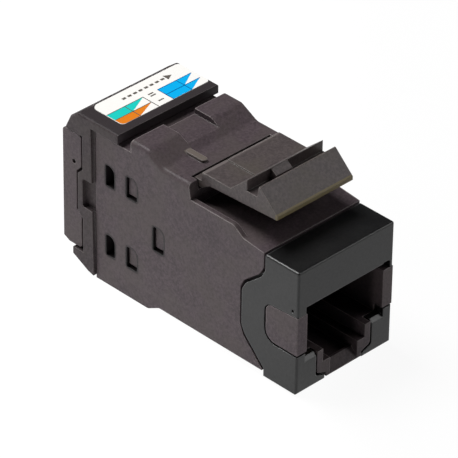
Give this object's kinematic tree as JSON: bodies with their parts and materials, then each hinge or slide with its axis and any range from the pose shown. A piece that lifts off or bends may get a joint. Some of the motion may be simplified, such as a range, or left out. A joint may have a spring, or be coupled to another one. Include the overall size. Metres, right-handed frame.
{
  "type": "keystone jack",
  "caption": "Unshielded snap-in network jack with a square plug port, a sprung release latch, a press-on termination cap with a wiring label, and a rear cable clamp.",
  "frame": {"origin": "centre of the plug port in the plane of the front face", "axes": "+Y from the front face towards the cable, +Z towards the release latch, +X to the right as seen from the front"},
  "size_m": [0.0156, 0.0373, 0.0233],
  "materials": {
    "housing": "fine satin moulded",
    "bezel": "fine satin moulded",
    "latch": "fine satin moulded",
    "cap": "fine satin moulded",
    "clamp": "fine satin moulded",
    "carrier": "moulded",
    "terminal_block": "moulded",
    "wire_manager": "moulded",
    "board": "solder mask over glass laminate",
    "contact_gold": "gold-plated phosphor bronze",
    "terminal_tin": "tin-plated phosphor bronze",
    "label": "printed label"
  },
  "bodies": {
    "base": {"housing": "housing", "front_bezel": "bezel", "contact_carrier": "carrier", "circuit_board": "board", "terminal_block": "terminal_block", "idc_terminal_1": "terminal_tin", "idc_terminal_2": "terminal_tin", "idc_terminal_3": "terminal_tin", "idc_terminal_4": "terminal_tin", "idc_terminal_5": "terminal_tin", "idc_terminal_6": "terminal_tin", "idc_terminal_7": "terminal_tin", "idc_terminal_8": "terminal_tin"},
    "latch": {"release_latch": "latch"},
    "contacts": {"contact_wire_1": "contact_gold", "contact_wire_2": "contact_gold", "contact_wire_3": "contact_gold", "contact_wire_4": "contact_gold", "contact_wire_5": "contact_gold", "contact_wire_6": "contact_gold", "contact_wire_7": "contact_gold", "contact_wire_8": "contact_gold"},
    "cap": {"termination_cap": "cap", "wiring_label": "label", "wire_manager": "wire_manager"},
    "clamp": {"cable_clamp": "clamp"}
  },
  "joints": [
    {"name": "latch_flex", "type": "hinge", "parent": "base", "child": "latch", "pos_m": [0, 0.0176, 0.0113], "axis": [1, 0, 0], "range_deg": [0, 9], "stiffness_Nm_per_rad": 0.02},
    {"name": "contact_flex", "type": "hinge", "parent": "base", "child": "contacts", "pos_m": [0, 0.01705, 0.00535], "axis": [-1, 0, 0], "range_deg": [0, 5], "stiffness_Nm_per_rad": 0.02},
    {"name": "cap_slide", "type": "slide", "parent": "base", "child": "cap", "axis": [0, 1, 0], "range_m": [0, 0.009]},
    {"name": "clamp_slide", "type": "slide", "parent": "cap", "child": "clamp", "axis": [0, 1, 0], "range_m": [0, 0.003]}
  ]
}
